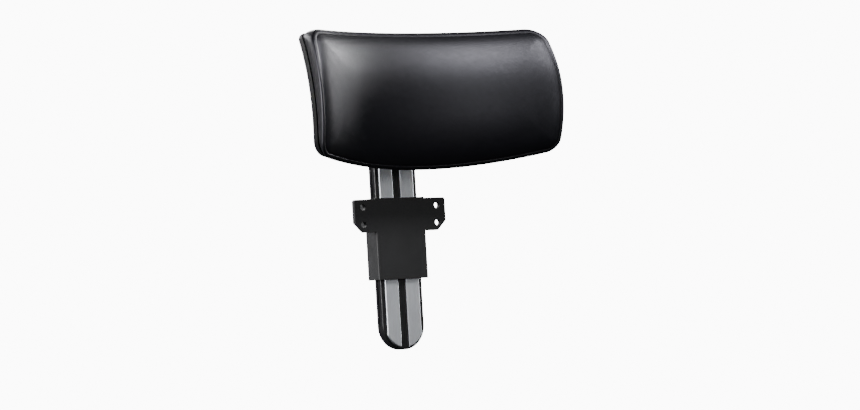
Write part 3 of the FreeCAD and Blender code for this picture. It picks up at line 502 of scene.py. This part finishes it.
def finish_nodes():
    """Give every CAD node that stays a procedural material."""
    stem = moulded_plastic(
        "stem_plastic", (0.006, 0.006, 0.007), (0.014, 0.014, 0.016), (0.30, 0.42))
    receiver = moulded_plastic(
        "receiver_plastic", (0.012, 0.012, 0.013), (0.022, 0.022, 0.024), (0.45, 0.6),
        texture=(1000, 0.00007))
    shell = moulded_plastic(
        "shell_plastic", (0.006, 0.006, 0.007), (0.013, 0.013, 0.014), (0.36, 0.5),
        texture=(1100, 0.00006), sheen=0.25)
    guide = moulded_plastic(
        "guide_plastic", (0.62, 0.61, 0.57), (0.75, 0.74, 0.70), (0.35, 0.5))
    trim = brushed_metal(
        "satin_trim", (0.82, 0.85, 0.90), (0.92, 0.95, 0.99), (0.44, 0.54), along=(1, 1, 0.03))
    bright = brushed_metal(
        "bright_steel", (0.50, 0.50, 0.51), (0.62, 0.62, 0.63), (0.28, 0.42))
    dark = brushed_metal(
        "dark_steel", (0.05, 0.05, 0.055), (0.09, 0.09, 0.10), (0.32, 0.46))
    spring = brushed_metal(
        "spring_steel", (0.28, 0.28, 0.30), (0.40, 0.40, 0.42), (0.25, 0.4), along=(0.05, 1, 1))
    bracket = moulded_plastic(
        "bracket_paint", (0.010, 0.010, 0.011), (0.020, 0.020, 0.021), (0.4, 0.55),
        texture=(600, 0.00009))
    wood = plywood()
    made_of = (
        (stem, "stem_bar", "left_hinge_cap", "right_hinge_cap"),
        (trim, "left_trim_bar", "right_trim_bar"),
        (receiver, "receiver_housing", "receiver_back_cover"),
        (shell, "rear_shell"),
        (guide, "upper_guide_liner", "lower_guide_liner", "left_hinge_bush", "right_hinge_bush"),
        (bright, "trim_bar_rivets", "leaf_spring_rivets", "axle_nut", "friction_washers",
         "tee_nuts"),
        (dark, "cover_screws", "stop_pin", "hinge_axle", "bracket_bolts", "shell_screws"),
        (spring, "detent_leaf_spring", "disc_springs"),
        (bracket, "hinge_bracket"),
        (wood, "carrier_board"),
    )
    for material, *names in made_of:
        for name in names:
            item = frame["nodes"][name]
            item.data.materials.clear()
            item.data.materials.append(material)


# -------------------------------------------------- camera and stage
def heading(turn, rise):
    """The direction that is turn radians from straight ahead towards +X and rise radians up."""
    return Vector((math.sin(turn) * math.cos(rise), -math.cos(turn) * math.cos(rise),
                   math.sin(rise)))


def upright(vector):
    """A direction given with the stem leaning back as on the chair, turned into the row frame."""
    return Matrix.Rotation(LEAN, 3, "X") @ vector


def camera():
    """Long lens, low on the sitter's right, framed with room beside and above the pad."""
    back = heading(-CAMERA_TURN, CAMERA_RISE)
    right = back.cross(Vector((0, 0, -1))).normalized()
    up = back.cross(right)
    back, right, up = upright(back), upright(right), upright(up)
    eye = ANCHOR + back * CAMERA_DISTANCE
    target = ANCHOR + right * AIM_RIGHT + up * AIM_UP
    axis = (eye - target).normalized()
    side = up.cross(axis).normalized()
    axes = Matrix((side, axis.cross(side), axis)).transposed().to_4x4()
    item = bpy.data.objects.new("camera", bpy.data.cameras.new("camera"))
    item.matrix_world = Matrix.Translation(eye) @ axes
    item.data.lens = LENS
    item.data.sensor_width = SENSOR_WIDTH
    item.data.clip_end = FAR_CLIP
    bpy.context.scene.collection.objects.link(item)
    bpy.context.scene.camera = item


def softbox(name, turn, rise, distance, width, height, power):
    """Rectangular light aimed at the pad, placed by angles in degrees."""
    towards = heading(math.radians(turn), math.radians(rise))
    data = bpy.data.lights.new(name, "AREA")
    data.shape = "RECTANGLE"
    data.size, data.size_y = width, height
    data.energy = power
    item = bpy.data.objects.new(name, data)
    item.location = LIGHTS_AIM + towards * distance
    item.rotation_euler = towards.to_track_quat("Z", "Y").to_euler()
    bpy.context.scene.collection.objects.link(item)


def floor():
    """Pale round floor that fades out towards its edge."""
    rim = [(math.cos(a) * FLOOR_RADIUS, math.sin(a) * FLOOR_RADIUS, 0)
           for a in np.linspace(0, 2 * math.pi, FLOOR_SIDES, endpoint=False)]
    item = mesh_object("floor", rim, [tuple(range(FLOOR_SIDES))])
    item.location.z = cad_box[0][2] - FLOOR_DROP
    material, nodes, links, shader = new_material("floor_white")
    where = position(nodes, links)
    tone = noise(nodes, links, where, scale=3, detail=2)
    colour = mix_colour(nodes, links, tone, (0.86, 0.86, 0.86), (0.90, 0.90, 0.90))
    links.new(colour, shader.inputs["Base Color"])
    from_centre = nodes.new("ShaderNodeVectorMath")
    from_centre.operation = "LENGTH"
    links.new(where, from_centre.inputs[0])
    fade = remap(nodes, links, from_centre.outputs["Value"], low=1, high=0,
                 start=FLOOR_RADIUS / 3, end=FLOOR_RADIUS)
    links.new(fade, shader.inputs["Alpha"])
    shader.inputs["Roughness"].default_value = 0.9
    item.data.materials.append(material)
    item.visible_diffuse = item.visible_glossy = False


def surround():
    """Even surround that looks pale but lights the object only faintly."""
    world = bpy.data.worlds.new("surround")
    bpy.context.scene.world = world
    world.use_nodes = True
    nodes, links = world.node_tree.nodes, world.node_tree.links
    path = nodes.new("ShaderNodeLightPath")
    strength = remap(nodes, links, path.outputs["Is Camera Ray"], SURROUND_LIGHT, SURROUND_SEEN,
                     start=0, end=1)
    links.new(strength, nodes["Background"].inputs["Strength"])
    nodes["Background"].inputs["Color"].default_value = (1, 1, 1, 1)


cover = pad_cover()
cover.data.materials.append(leather())
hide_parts("front_panel_cover", "side_band_cover", "foam_core")
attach(cover, "pad")
finish_nodes()
camera()
floor()
surround()
for light_name, placing in LIGHTS.items():
    softbox(light_name, *placing)
